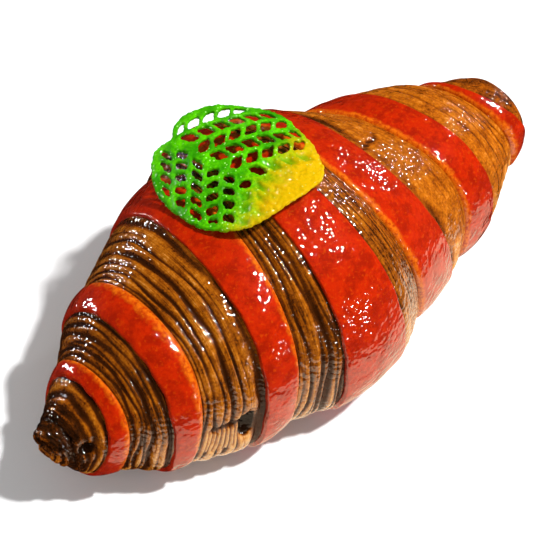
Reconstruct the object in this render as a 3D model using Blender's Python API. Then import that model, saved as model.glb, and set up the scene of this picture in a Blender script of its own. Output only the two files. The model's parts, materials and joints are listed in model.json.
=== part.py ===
"""A two-tone croissant with a lace leaf lying on it.

Metres, +Z up. The roll lies along X with its near end at -X, and it rests on Z = 0.
There are two solids: "croissant", the rolled dough with its wraps, and "lace_leaf", the pierced
wafer leaf that lies on its top.
"""

import math

import bmesh
import bpy
from mathutils import Matrix, Vector, noise
from mathutils.bvhtree import BVHTree

MM = 0.001

# ---- Driving sizes of the roll, in millimetres ----
HALF_LENGTH = 80.0
ROUNDNESS = 2.15  # superellipse power of the section above its widest level
BASE_BOXINESS = 3.0  # the same below it, where the dough spreads on the tray
WIDEST_AT = 0.45  # the widest level, as a share of the section's height
FLAT_BASE = 1.2  # how much of the rounded underside is pressed flat
END_RADIUS = 8.0  # the rolled ends are about this round
NEAR_END_LIFT = 16.8  # how far the underside rises towards each end
FAR_END_LIFT = 20.0

SHEET = 0.7  # thickness of the coloured sheet
GROOVE = 0.7  # depth of the grooves between the cut layers
NOTCH = 1.9  # depth of the crease where a wide wrap sits on the next one
WIDE = 10.0  # where a wrap is narrower than this, the crease beside it is shallower
SWELL = 0.4  # how far a wrap stands out at its cut edge
LAYER_PITCH = 2.8  # from one ridge of cut layers to the next
SHEET_PITCH = 4.0  # from one ring of facets to the next on a smooth sheet
NUB_PITCH = 3.6  # from one turn to the next of the tight roll at the near end
STEP = 0.12  # half the width of the step at a cut edge
AROUND = 40  # facets round the roll
UNEVEN = 0.55  # how far the dough swells and sinks by chance

# Half width of the roll at stations along it.
WIDTHS = (
    (-80.0, 0.0), (-79.4, 3.6), (-77.6, 5.7), (-74.5, 7.7), (-69.5, 11.3), (-60.0, 18.4),
    (-50.5, 24.5), (-34.0, 31.0), (-23.0, 34.8), (-12.0, 37.8), (-4.0, 38.7), (4.0, 38.0),
    (12.0, 35.8), (26.7, 30.9), (34.8, 28.6), (48.0, 25.2), (57.5, 21.8), (65.3, 17.4),
    (74.5, 12.8), (77.8, 9.8), (79.4, 5.6), (80.0, 0.0),
)

# The seams from the near end to the far end, as (station, kind, lean in plan, slant in
# elevation). At an "edge" a coloured sheet was cut, and at a "rim" it comes out from under the
# next wrap. Coloured sheets and bands of cut layers take turns, and the first seam starts a sheet.
SEAMS = (
    (-70.2, "edge", 0.03, 0.38), (-65.3, "rim", -0.02, 0.22),
    (-56.6, "edge", 0.02, 0.12), (-50.5, "rim", 0.01, 0.20),
    (-34.2, "edge", 0.07, 0.09), (-23.1, "rim", 0.12, 0.08),
    (-14.2, "edge", 0.06, 0.01), (2.0, "edge", -0.03, -0.13),
    (12.2, "rim", -0.08, -0.17), (26.2, "edge", -0.17, -0.22),
    (34.8, "rim", -0.25, 0.05), (48.0, "edge", -0.24, -0.04),
    (67.4, "rim", -0.18, -0.12), (73.0, "edge", -0.38, -0.35),
)
NEAR_TIP_TILT = (-0.1, -0.1)  # lean and slant of the rolled end's face
FAR_TIP_TILT = (0.0, 0.0)

# A torn hole and the hollow in the rolled end, as (station, degrees from +Y, half length along
# the roll, half length around it, depth).
HOLLOWS = ((-38.4, 180.0, 2.2, 3.4, 2.4), (-73.4, 152.0, 1.7, 1.8, 1.8))

# ---- Driving sizes of the leaf, in millimetres ----
LEAF_BASE = (-15.1, 24.3)  # where its stalk end lies over the roll
LEAF_TURN = -74.5  # which way its main vein points, in degrees from +X
LEAF_THICK = 1.1
LEAF_LENGTH = 40.0
LEAF_RIM = 2.0  # width of the unpierced border
CELL_MARGIN = 0.2  # a cell whose middle is nearer to the border than this is left out
LEAF_MIDDLE = (18.0, 1.0)  # the outline's radii are measured from here, along and across the vein
LEAF_RADII = (  # (degrees from the vein, radius)
    (0.0, 21.0), (6.0, 21.5), (34.0, 18.6), (62.0, 17.2), (92.0, 18.6), (115.0, 18.1),
    (140.0, 19.5), (162.0, 20.6), (173.0, 19.8), (183.0, 18.2), (194.0, 21.2), (222.0, 20.0),
    (250.0, 18.6), (281.0, 19.2), (306.0, 20.0), (334.0, 19.6), (360.0, 21.0),
)
OUTLINE_POINTS = 60
VEIN_BOW = 4.2  # how far the main vein bows sideways
# The rows of cells on either side of the main vein, as (degrees from the vein, place of the
# first row, from one row to the next, from the vein to a row's first cell, from one cross-bar to
# the next, how far the cross-bars of successive rows lean).
BRANCHES = (
    (51.0, -1.9, 4.5, 3.0, 3.9, (-0.4, 0.5)),
    (-60.0, -1.0, 3.8, 2.4, 3.1, (1.0, 0.45, 1.0, 0.0, 0.4, 0.0)),
)
ROWS = 9
CELLS = 6
BAR = 1.3  # width of the bars and veins
CELL_CORNER = 0.5  # 1 makes the cells round, towards 0 they get sharper corners
FILLED_BEYOND = 24.0  # past this line the batter ran together and left only dimples
FILLED_SLOPE = 0.6
DIMPLE = 0.35
DOME = (0.016, 0.004)  # how fast the leaf falls away along X and Y, per millimetre
DOME_MIDDLE = (-5.0, -5.0)
RIPPLE = 0.35
GAP = 0.3  # between the leaf and the roll


def smooth_curve(knots):
    """A function through the knots that never overshoots them (a monotone cubic)."""
    xs = [k[0] for k in knots]
    ys = [k[1] for k in knots]
    rises = [(y1 - y0) / (x1 - x0) for x0, x1, y0, y1 in zip(xs, xs[1:], ys, ys[1:])]
    slopes = [rises[0]]
    for before, after in zip(rises, rises[1:]):
        level = before * after <= 0
        slopes.append(0.0 if level else 2 * before * after / (before + after))
    slopes.append(rises[-1])

    def curve(x):
        x = min(max(x, xs[0]), xs[-1])
        i = max(j for j in range(len(xs) - 1) if xs[j] <= x)
        span = xs[i + 1] - xs[i]
        t = (x - xs[i]) / span
        ease = t * t * (3 - 2 * t)
        bend = t * (1 - t)
        leaving = bend * (1 - t) * span * slopes[i]
        arriving = -bend * t * span * slopes[i + 1]
        return ys[i] + (ys[i + 1] - ys[i]) * ease + leaving + arriving

    return curve


half_width = smooth_curve(WIDTHS)
leaf_radius = smooth_curve(LEAF_RADII)


def power(value, exponent):
    """A power that keeps the value's sign."""
    return math.copysign(abs(value) ** exponent, value)


# ---- The roll ----
def tallness(x):
    """The section's height over its half width: flatter in the middle, round at the ends."""
    u = x / HALF_LENGTH
    return 1.65 - 0.07 * u + 0.27 * u * u


def centre_line(x):
    """How far the roll's middle lies off the X axis, and how high its widest level is."""
    u = x / HALF_LENGTH
    sideways = 1.3 * (u * u - 1 / 3) - 4.3 * (u**3 - 0.6 * u) - 3.5 * (u**4 - 0.2)
    lift = (NEAR_END_LIFT if x < 0 else FAR_END_LIFT) * u**4
    return sideways, lift + WIDEST_AT * tallness(x) * max(half_width(x), END_RADIUS)


def section(x, turn, push=0.0):
    """The point of the roll's section at x that lies at an angle turn from +Y, pushed outwards."""
    reach = half_width(x)
    reach += push * min(1.0, reach / END_RADIUS)
    c, s = math.cos(turn), math.sin(turn)
    y = reach * power(c, 2 / ROUNDNESS)
    share = (1 - WIDEST_AT) if s >= 0 else WIDEST_AT
    z = tallness(x) * share * reach * power(s, 2 / (ROUNDNESS if s >= 0 else BASE_BOXINESS))
    return y, z


def seam_tilt(x):
    """How far a ring of the roll leans in plan and slants in elevation, between the seams."""
    stops = [(s[0], s[2], s[3]) for s in SEAMS]
    stops = [(-HALF_LENGTH, *NEAR_TIP_TILT)] + stops + [(HALF_LENGTH, *FAR_TIP_TILT)]
    for before, after in zip(stops, stops[1:]):
        if x <= after[0]:
            t = (x - before[0]) / (after[0] - before[0])
            return tuple(a + (b - a) * t for a, b in zip(before[1:], after[1:]))
    return 0.0, 0.0


def bands():
    """Each stretch of the roll as (start, end, start's kind, end's kind, is it a sheet)."""
    stops = [(-HALF_LENGTH, "tip")] + [s[:2] for s in SEAMS] + [(HALF_LENGTH, "tip")]
    return [(a[0], b[0], a[1], b[1], i % 2 == 1) for i, (a, b) in enumerate(zip(stops, stops[1:]))]


def crease(rim):
    """How deep the crease at a rim is: the narrower of the two wraps there decides it."""
    widths = [end - start for start, end, *_ in bands() if rim in (start, end)]
    return NOTCH * min(1.0, *(width / WIDE for width in widths))


def ridge_pitch(width):
    return width / max(1, round(width / LAYER_PITCH))


def relief(x, turn):
    """How far the skin stands off the plain roll at a station."""
    start, end, start_kind, end_kind, is_sheet = next(b for b in bands() if x <= b[1])
    width = end - start
    from_start, from_end = x - start, end - x
    if start_kind == "rim":
        from_rim, notch = from_start, crease(start)
    elif end_kind == "rim":
        from_rim, notch = from_end, crease(end)
    else:
        from_rim, notch = width, 0.0
    rise = 1 - (1 - from_rim / width) ** 2
    height = -notch + (notch + SWELL) * rise
    if is_sheet:
        return height + SHEET * min(1.0, from_rim / (2 * STEP))
    if start_kind == "tip":
        return height - GROOVE * (1 + math.cos(math.tau * from_end / NUB_PITCH + turn)) / 2
    from_edge = from_start if start_kind == "edge" else from_end
    return height - GROOVE * (1 + math.cos(math.tau * from_edge / ridge_pitch(width))) / 2


def hollow_depth(x, turn):
    """How deep the torn hole and the hollow in the rolled end are at a place."""
    depth = 0.0
    for station, degrees, half_length, half_girth, deepest in HOLLOWS:
        swing = math.remainder(turn - math.radians(degrees), math.tau)
        reach = ((x - station) / half_length) ** 2 + (swing * half_width(x) / half_girth) ** 2
        depth += deepest * math.exp(-reach)
    return depth


def evenly(start, end, pitch):
    """Stations from start to just short of end, about a pitch apart."""
    count = max(1, round((end - start) / pitch))
    return [start + (end - start) * i / count for i in range(count)]


def stations():
    """Where the rings of facets lie along the roll, without its two tips."""
    rings = []
    for start, end, start_kind, end_kind, is_sheet in bands():
        low = start + (STEP if start_kind == "edge" else 0.0)
        high = end - (STEP if end_kind == "edge" else 0.0)
        if is_sheet:
            pitch = SHEET_PITCH
        elif start_kind == "tip":
            pitch = NUB_PITCH / 4
        else:
            pitch = ridge_pitch(end - start) / 2
        rings += evenly(low, high, pitch)
        if end_kind == "edge":
            rings.append(high)
    return rings[1:]


def skin_point(x, turn):
    """A point of the finished skin, in millimetres."""
    lean, slant = seam_tilt(x)
    y, z = section(x, turn)
    push = relief(x, turn) - hollow_depth(x, turn)
    x += lean * y + slant * z
    push += UNEVEN * noise.noise(Vector((x, y, z)) / 17.0)
    y, z = section(x, turn, push)
    sideways, level = centre_line(x)
    return Vector((x, y + sideways, max(z + level - FLAT_BASE, 0.0)))


def make_croissant():
    """Spins a chain of points about the X axis, then gives every ring its real section."""
    bm = bmesh.new()
    rings = stations()
    chain = [bm.verts.new((x, 1.0, 0.0)) for x in rings]
    chain.insert(0, bm.verts.new((-HALF_LENGTH, 0.0, 0.0)))
    chain.append(bm.verts.new((HALF_LENGTH, 0.0, 0.0)))
    edges = [bm.edges.new(pair) for pair in zip(chain, chain[1:])]
    bmesh.ops.spin(bm, geom=chain + edges, cent=(0, 0, 0), axis=(1, 0, 0), angle=math.tau,
                   steps=AROUND, use_merge=True)
    bmesh.ops.remove_doubles(bm, verts=bm.verts, dist=0.001)
    for vert in bm.verts:
        turn = math.atan2(vert.co.z, vert.co.y)
        vert.co = skin_point(vert.co.x, turn) * MM
    bmesh.ops.triangulate(bm, faces=bm.faces)
    bmesh.ops.recalc_face_normals(bm, faces=bm.faces)
    return bm


# ---- The leaf ----
def vein_point(along):
    """A point of the main vein, along and across the leaf."""
    return Vector((along, -VEIN_BOW * math.sin(math.pi * along / LEAF_LENGTH), 0.0))


def outline_limit(point):
    """How far a point of the leaf lies inside its outline."""
    spoke = point.xy - Vector(LEAF_MIDDLE)
    angle = math.degrees(math.atan2(spoke.y, spoke.x)) % 360.0
    return leaf_radius(angle) - spoke.length


def is_filled(point):
    return point.x - FILLED_SLOPE * max(point.y, 0.0) > FILLED_BEYOND


def branch_root(offset, normal):
    """Where a side vein that lies this far along its normal leaves the main vein."""
    along = offset / normal.x
    for _ in range(3):
        along = (offset - vein_point(along).y * normal.y) / normal.x
    return vein_point(along)


def cell_frames():
    """Each cell of the lace as its middle, half its length and half its width."""
    frames = []
    for degrees, first_row, row_pitch, first_cell, cell_pitch, leans in BRANCHES:
        turn = math.radians(degrees)
        side = math.copysign(1.0, turn)
        along = Vector((math.cos(turn), math.sin(turn), 0.0))
        across = Vector((math.sin(turn), -math.cos(turn), 0.0)) * side
        for row in range(ROWS):
            root = branch_root(first_row + row_pitch * row, across)
            lean = leans[row % len(leans)]
            half_long = along * (cell_pitch - BAR) / 2
            half_wide = (across + along * lean) * (row_pitch - BAR) / 2
            for step in range(CELLS):
                middle = root + along * (first_cell + cell_pitch * step)
                if outline_limit(middle) > LEAF_RIM + CELL_MARGIN:
                    frames.append((middle, half_long, half_wide))
    return frames


def leaf_height(x, y):
    """The leaf is a shallow dome with a ripple in it."""
    fall = DOME[0] * (x - DOME_MIDDLE[0]) ** 2 + DOME[1] * (y - DOME_MIDDLE[1]) ** 2
    return RIPPLE * noise.noise(Vector((x, y, 0.0)) / 9.0) - fall


def make_leaf(croissant):
    """Cuts the lace out of a flat outline, bends it into a dome and thickens it."""
    bm = bmesh.new()
    ring = bmesh.ops.create_circle(bm, segments=OUTLINE_POINTS, radius=1.0)["verts"]
    for vert in ring:
        angle = math.degrees(math.atan2(vert.co.y, vert.co.x)) % 360.0
        vert.co = Vector((*LEAF_MIDDLE, 0.0)) + vert.co * leaf_radius(angle)
    dimples = []
    for middle, half_long, half_wide in cell_frames():
        tilt = Matrix.Rotation(math.pi / 8, 4, "Z")
        cell = bmesh.ops.create_circle(bm, segments=8, radius=1.0, matrix=tilt)["verts"]
        for vert in cell:
            part_long, part_wide = (power(v, CELL_CORNER) for v in vert.co.xy)
            vert.co = middle + half_long * part_long + half_wide * part_wide
            spoke = vert.co.xy - Vector(LEAF_MIDDLE)
            inside = min(1.0, (spoke.length + outline_limit(vert.co) - LEAF_RIM) / spoke.length)
            vert.co.xy = Vector(LEAF_MIDDLE) + spoke * inside
        if is_filled(middle):
            dimples.append(cell)
    bmesh.ops.triangle_fill(bm, edges=bm.edges, use_beauty=True, normal=(0, 0, 1))
    for cell in dimples:
        floor = bmesh.ops.contextual_create(bm, geom=cell)["faces"]
        bmesh.ops.poke(bm, faces=floor, offset=-DIMPLE)
    turn = Matrix.Rotation(math.radians(LEAF_TURN), 4, "Z")
    place = Matrix.Translation((*LEAF_BASE, 0.0)) @ turn
    bmesh.ops.transform(bm, matrix=place, verts=bm.verts)
    for vert in bm.verts:
        vert.co.z += leaf_height(vert.co.x, vert.co.y)
    bmesh.ops.recalc_face_normals(bm, faces=bm.faces)
    bmesh.ops.solidify(bm, geom=bm.faces[:], thickness=LEAF_THICK)
    bmesh.ops.scale(bm, vec=(MM, MM, MM), verts=bm.verts)
    bmesh.ops.triangulate(bm, faces=bm.faces)
    bmesh.ops.recalc_face_normals(bm, faces=bm.faces)
    lay_down(bm, croissant)
    return bm


def lay_down(leaf, croissant):
    """Moves the leaf down until its lowest place is a gap above the roll."""
    skin = BVHTree.FromBMesh(croissant)
    high = Vector((0.0, 0.0, 1.0))
    drops = []
    for vert in leaf.verts:
        below = skin.ray_cast(vert.co + high, -high)[0]
        if below:
            drops.append(vert.co.z - below.z)
    bmesh.ops.translate(leaf, vec=(0.0, 0.0, GAP * MM - min(drops)), verts=leaf.verts)


# ---- Objects ----
def make_material(name, colour, roughness):
    material = bpy.data.materials.new(name)
    material.use_nodes = True
    shader = material.node_tree.nodes["Principled BSDF"]
    shader.inputs["Base Color"].default_value = (*colour, 1.0)
    shader.inputs["Roughness"].default_value = roughness
    shader.inputs["Metallic"].default_value = 0.0
    return material


def make_object(name, bm, material, smooth_angle):
    mesh = bpy.data.meshes.new(name)
    bm.to_mesh(mesh)
    mesh.materials.append(material)
    mesh.shade_smooth()
    mesh.set_sharp_from_angle(angle=math.radians(smooth_angle))
    bpy.context.scene.collection.objects.link(bpy.data.objects.new(name, mesh))


def main():
    for old in list(bpy.data.objects):
        bpy.data.objects.remove(old, do_unlink=True)
    croissant = make_croissant()
    leaf = make_leaf(croissant)
    make_object("croissant", croissant, make_material("glazed_dough", (0.42, 0.10, 0.02), 0.3), 50)
    make_object("lace_leaf", leaf, make_material("green_wafer", (0.10, 0.50, 0.02), 0.5), 40)
    croissant.free()
    leaf.free()


main()
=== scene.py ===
"""The looks of the two-tone croissant: laminated brown roll, red glazed sheets and a lace leaf."""

import bisect
import json
import math

import bmesh
import bpy
from mathutils import Matrix, Vector, noise

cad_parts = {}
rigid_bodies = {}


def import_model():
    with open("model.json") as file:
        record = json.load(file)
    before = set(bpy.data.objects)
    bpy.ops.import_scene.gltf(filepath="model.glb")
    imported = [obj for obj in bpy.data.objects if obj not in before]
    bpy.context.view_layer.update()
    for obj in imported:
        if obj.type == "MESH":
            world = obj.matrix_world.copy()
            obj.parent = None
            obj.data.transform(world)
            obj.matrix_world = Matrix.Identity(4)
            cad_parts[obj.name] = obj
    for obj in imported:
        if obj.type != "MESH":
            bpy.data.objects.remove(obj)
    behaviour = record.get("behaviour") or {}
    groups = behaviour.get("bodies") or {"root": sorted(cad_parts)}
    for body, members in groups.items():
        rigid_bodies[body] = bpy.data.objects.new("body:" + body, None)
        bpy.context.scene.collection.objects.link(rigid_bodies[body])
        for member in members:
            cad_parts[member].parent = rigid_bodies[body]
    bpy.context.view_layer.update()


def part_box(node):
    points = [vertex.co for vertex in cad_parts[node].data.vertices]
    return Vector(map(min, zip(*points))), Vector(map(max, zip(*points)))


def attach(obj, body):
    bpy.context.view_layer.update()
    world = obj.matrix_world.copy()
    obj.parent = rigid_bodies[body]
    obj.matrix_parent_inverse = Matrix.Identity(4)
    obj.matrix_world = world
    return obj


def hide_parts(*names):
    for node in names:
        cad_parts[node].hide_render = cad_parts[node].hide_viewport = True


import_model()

MM = 0.001
TINY = 0.001  # two places of a mesh that are nearer than this, in millimetres, are one

# ---- The camera, in millimetres and degrees ----
VIEW_TARGET = Vector((0.0, 0.0, 25.0))
VIEW_AZIMUTH = -45.2
VIEW_ELEVATION = 50.4
VIEW_ROLL = 1.1  # how far the camera is turned about the line it looks along
VIEW_DISTANCE = 391.0
VIEW_OFF_CENTRE = (-1.5, -5.5)  # the point in the picture's middle, right of and above the target
LENS = 98.8
WORLD_LIGHT = 0.38  # strength of the even white light from all round

# ---- The roll, as the solids have it, in millimetres ----
HALF_LENGTH = 80.0
ROUNDNESS = 2.15  # superellipse power of the section above its widest level
BASE_BOXINESS = 3.0  # the same below it, where the dough spreads on the tray
WIDEST_AT = 0.45  # the widest level, as a share of the section's height
FLAT_BASE = 1.2  # how much of the rounded underside is pressed flat
END_RADIUS = 8.0  # the rolled ends are about this round
NEAR_END_LIFT = 16.8  # how far the underside rises towards each end
FAR_END_LIFT = 20.0
NOTCH = 1.9  # depth of the crease where a wide wrap sits on the next one
WIDE = 10.0  # where a wrap is narrower than this, the crease beside it is shallower
SWELL = 0.4  # how far a wrap stands out at its cut edge
UNEVEN = 0.55  # how far the dough swells and sinks by chance
UNEVEN_PITCH = 17.0
# Half width of the roll at stations along it.
WIDTHS = (
    (-80.0, 0.0), (-79.4, 3.6), (-77.6, 5.7), (-74.5, 7.7), (-69.5, 11.3), (-60.0, 18.4),
    (-50.5, 24.5), (-34.0, 31.0), (-23.0, 34.8), (-12.0, 37.8), (-4.0, 38.7), (4.0, 38.0),
    (12.0, 35.8), (26.7, 30.9), (34.8, 28.6), (48.0, 25.2), (57.5, 21.8), (65.3, 17.4),
    (74.5, 12.8), (77.8, 9.8), (79.4, 5.6), (80.0, 0.0),
)
# The seams from the near end to the far end, as (station, kind, lean in plan, slant in
# elevation). At an "edge" a coloured sheet was cut, and at a "rim" it comes out from under the
# next wrap. Coloured sheets and bands of cut layers take turns, and the first seam starts a sheet.
SEAMS = (
    (-70.2, "edge", 0.03, 0.38), (-65.3, "rim", -0.02, 0.22),
    (-56.6, "edge", 0.02, 0.12), (-50.5, "rim", 0.01, 0.20),
    (-34.2, "edge", 0.07, 0.09), (-23.1, "rim", 0.12, 0.08),
    (-14.2, "edge", 0.06, 0.01), (2.0, "edge", -0.03, -0.13),
    (12.2, "rim", -0.08, -0.17), (26.2, "edge", -0.17, -0.22),
    (34.8, "rim", -0.25, 0.05), (48.0, "edge", -0.24, -0.04),
    (67.4, "rim", -0.18, -0.12), (73.0, "edge", -0.38, -0.35),
)
NEAR_TIP_TILT = (-0.1, -0.1)  # lean and slant of the rolled end's face
FAR_TIP_TILT = (0.0, 0.0)
# A torn hole and the hollow in the rolled end, as (station, degrees from +Y, half length along
# the roll, half length around it, depth).
HOLLOWS = ((-38.4, 180.0, 2.2, 3.4, 2.4), (-73.4, 152.0, 1.7, 1.8, 1.8))
HOLLOWER = 1.3  # the layers' hollows are this many times as deep
HOLLOW_DARK = (0.7, 1.4)  # between these depths painted shade turns a hollow as dark as a groove

# ---- Finer relief, in millimetres ----
LAYER_RINGS = 0.27  # between rings of the mesh on the cut layers
HIDDEN_RINGS = 2.0  # and where a sheet covers them
SHEET_RINGS = 0.5
TIP_RINGS = 0.05  # between rings on an end's face, which is steep there
TIP_REACH = 0.6  # how far along the roll those rings reach
ROLL_AROUND = 240  # faces round the roll
SHEET_AROUND = 260
UNDER_SHEET = 0.8  # how far the layers sink where a sheet covers them
LIP = 0.25  # they rise again this far inside the sheet's ends
EDGE_WANDER = 0.35  # how far a cut edge strays from its seam
FINE_DEPTH = 0.12  # of the roughness between the grooves
BLUNT_FROM = 20.0  # where the roll's half width is less than this, edges and grooves stray less
# The bands of cut layers are counted from the near end, with the rolled end as the first.
# The grooves of each band, as (distance from its cut edge, half width, depth). The depth is a
# share of GROOVE_DEPTH.
GROOVES = (
    ((0.3, 0.35, 0.6), (1.8, 0.4, 0.8), (3.1, 0.45, 0.8), (4.4, 0.45, 0.8), (5.6, 0.4, 0.6),
     (6.9, 0.4, 0.6)),
    ((0.6, 0.7, 0.8), (2.5, 0.3, 0.45), (4.3, 0.6, 0.9), (5.6, 0.25, 0.4), (6.6, 0.35, 0.6),
     (8.0, 0.4, 0.6)),
    ((1.1, 1.2, 1.0), (4.4, 0.2, 0.25), (6.3, 0.4, 0.75), (9.1, 0.7, 1.0), (11.6, 0.3, 0.5),
     (13.6, 0.4, 0.7), (15.4, 0.35, 0.5)),
    ((0.5, 0.5, 0.7), (1.7, 0.25, 0.35), (3.1, 0.7, 1.0), (4.6, 0.5, 0.8), (5.9, 0.2, 0.3),
     (7.1, 0.35, 0.7), (8.4, 0.25, 0.4)),
    ((0.3, 0.35, 0.5), (3.9, 0.25, 0.45), (5.0, 0.2, 0.4), (6.2, 0.25, 0.5), (7.3, 0.2, 0.4),
     (8.3, 0.25, 0.5), (9.3, 0.25, 0.5)),
    ((0.9, 1.0, 1.0), (5.6, 0.2, 0.4), (6.4, 0.2, 0.4), (7.2, 0.2, 0.45), (7.9, 0.2, 0.4)),
    ((0.3, 0.3, 0.3), (6.0, 0.6, 0.4), (9.5, 0.5, 0.5), (11.0, 0.4, 0.45), (13.5, 0.5, 0.55),
     (16.0, 0.5, 0.5), (18.2, 0.4, 0.5)),
    ((0.3, 0.3, 0.4), (2.0, 0.4, 0.4), (3.8, 0.5, 0.4)),
)
GROOVE_WANDER = 0.8  # how far a groove strays along the roll
GROOVE_DEPTH = 1.05
GROOVE_WIDTH = 1.15  # the half widths above are multiplied by this
FINEST_GROOVE = 0.38  # the narrowest that the rings can carry
CUT = (1.0, 1.0, 1.0, 1.0, 0.8, 0.65, 0.5, 0.4)  # how deep each band's grooves are, as a share
BAKED = (0.75, 0.3, 0.1, 0.25, 0.35, 0.1, 0.0, 0.45)  # how dark each band is baked; on the rolled end partly painted shade
# The crease that crosses the sixth band: its two ends, as (station, degrees from +Y).
WRINKLE_START = (26.0, 98.0)
WRINKLE_END = (35.0, 84.0)
WRINKLE_DEPTH = 0.8
WRINKLE_HALF = 0.6  # half its width
# The strip of torn layers low on the third band, and the split above it.
TORN_MIDDLE = -44.8
TORN_HALF = 5.0  # half its length along the roll
TORN_ABOVE = (176.0, 178.5)  # it fades in between these degrees from +Y
TORN_BELOW = (190.0, 194.0)  # and out again between these
TORN_PITCH = 1.1  # between its ribs
TORN_DEPTH = 0.5
RIB_HEIGHT = 0.3
SPLIT_MIDDLE = -43.6
SPLIT_HALF = 5.5
SPLIT_AT = 176.5  # degrees from +Y, where the split lies
SPLIT_WIDTH = 1.9  # half its width, in degrees
SPLIT_DEPTH = 0.9
# The rolled near end: a rough spiral inside a curled lip.
LIP_STATION = -74.6
LIP_HALF = 0.45
LIP_HEIGHT = 0.55
LIP_TURN = 130.0  # the lip is highest here, in degrees from +Y
FACE_EDGE = (-74.9, -75.6)  # the rough face starts between these stations
SPIRAL_PITCH = 1.9
NUB_SHADOW = (-73.8, -72.4)  # the rolled end's darker bake and painted shade fade out between these stations
# The far end.
SLANT_FREE = 76.0  # from this station on the last seam's slant is held back
SLANT_END = 78.6  # and it never carries the seam past this one
FAR_FACE_FROM = 78.5  # where the far end's steep face starts
FAR_FACE_TO = 79.0  # the sheet and the layers draw together from here to the tip
FACE_RADIUS = 7.0  # the marks for the materials close up inside this on the end faces
# The coloured sheets.
SHEET_STEP = 0.5  # how far a sheet stands over the layers at its cut edge
SHEET_SINK = 0.9  # how far it dips in at its rim
RIM_START = -0.5  # the dip runs from here
RIM_RISE = 1.0  # to this far from the rim
SHEET_BACK = -1.2  # the height of its hidden underside
EDGE_FOOT = -0.3  # a cut edge goes straight down to this height
EDGE_ROUND = 0.2  # its upper corner is rounded over this way
EDGE_BEVEL = 0.06  # the middle of that corner lies this far in from both sides
RIM_GAP_MOST = 9.0  # places farther than this from a rim are marked alike

# ---- The leaf, in millimetres ----
LEAF_BASE = (-15.1, 24.3)  # where its stalk end lies over the roll
LEAF_TURN = -74.5  # which way its main vein points, in degrees from +X
LEAF_THICK = 1.1
LEAF_LENGTH = 40.0
LEAF_RIM = 1.4  # width of the unpierced border
CELL_MARGIN = -0.2  # a cell whose middle is nearer to the border than this is left out
LEAF_MIDDLE = (18.0, 1.0)  # the outline's radii are measured from here, along and across the vein
LEAF_RADII = (  # (degrees from the vein, radius)
    (0.0, 21.0), (6.0, 21.5), (34.0, 18.6), (62.0, 17.2), (92.0, 18.6), (115.0, 18.1),
    (140.0, 19.5), (162.0, 20.6), (173.0, 19.8), (183.0, 18.2), (194.0, 21.2), (222.0, 20.0),
    (250.0, 18.6), (281.0, 19.2), (306.0, 20.0), (334.0, 19.6), (360.0, 21.0),
)
OUTLINE_POINTS = 180
VEIN_BOW = 4.2  # how far the main vein bows sideways
# The rows of cells on either side of the main vein, as (degrees from the vein, place of the
# first row, from one row to the next, from the vein to a row's first cell, from one cross-bar to
# the next, how far the cross-bars of successive rows lean).
BRANCHES = (
    (51.0, -1.9, 4.5, 3.0, 3.9, (-0.4, 0.5)),
    (-60.0, -1.0, 3.8, 2.4, 3.1, (1.0, 0.45, 1.0, 0.0, 0.4, 0.0)),
)
ROWS = 9
CELLS = 6
BAR = 1.0  # width of the bars and veins
VEIN_HALF = 0.6  # half the width of the main vein
CELL_CORNER = 0.5  # 1 makes the cells round, towards 0 they get sharper corners
CELL_POINTS = 20
CELL_WOBBLE = 0.25  # how far a cell's outline strays
FILLED_BEYOND = 25.5  # past this line the batter ran together and left only dimples
FILLED_SLOPE = 0.6
FILLED_REACH = 9.0  # the dimples fade out over this way beyond it
DIMPLE = 0.85  # depth of a dimple
DIMPLES_FROM = 6.0  # they begin at most this far short of that line
LEAF_GRIT = 0.3  # how rough its skin is
LEAF_LUMPS = 0.15
DOME = (0.016, 0.004)  # how fast the leaf falls away along X and Y, per millimetre
DOME_MIDDLE = (-5.0, -5.0)
RIPPLE = 0.35
LEAF_VOXEL = 0.3  # between the points of its even mesh
LEAF_SMOOTHING = 2


def smooth_curve(knots):
    """A function through the knots that never overshoots them (a monotone cubic)."""
    xs = [k[0] for k in knots]
    ys = [k[1] for k in knots]
    rises = [(y1 - y0) / (x1 - x0) for x0, x1, y0, y1 in zip(xs, xs[1:], ys, ys[1:])]
    slopes = [rises[0]]
    for before, after in zip(rises, rises[1:]):
        level = before * after <= 0
        slopes.append(0.0 if level else 2 * before * after / (before + after))
    slopes.append(rises[-1])

    def curve(x):
        x = min(max(x, xs[0]), xs[-1])
        i = min(max(bisect.bisect_right(xs, x) - 1, 0), len(xs) - 2)
        span = xs[i + 1] - xs[i]
        t = (x - xs[i]) / span
        ease = t * t * (3 - 2 * t)
        bend = t * (1 - t)
        leaving = bend * (1 - t) * span * slopes[i]
        arriving = -bend * t * span * slopes[i + 1]
        return ys[i] + (ys[i + 1] - ys[i]) * ease + leaving + arriving

    return curve


half_width = smooth_curve(WIDTHS)
leaf_radius = smooth_curve(LEAF_RADII)


def power(value, exponent):
    """A power that keeps the value's sign."""
    return math.copysign(abs(value) ** exponent, value)


def smoothstep(low, high, value):
    t = min(max((value - low) / (high - low), 0.0), 1.0)
    return t * t * (3 - 2 * t)


# ---- The roll's form ----
def tallness(x):
    """The section's height over its half width: flatter in the middle, round at the ends."""
    u = x / HALF_LENGTH
    return 1.65 - 0.07 * u + 0.27 * u * u


def centre_line(x):
    """How far the roll's middle lies off the X axis, and how high its widest level is."""
    u = x / HALF_LENGTH
    sideways = 1.3 * (u * u - 1 / 3) - 4.3 * (u**3 - 0.6 * u) - 3.5 * (u**4 - 0.2)
    lift = (NEAR_END_LIFT if x < 0 else FAR_END_LIFT) * u**4
    return sideways, lift + WIDEST_AT * tallness(x) * max(half_width(x), END_RADIUS)


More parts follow.
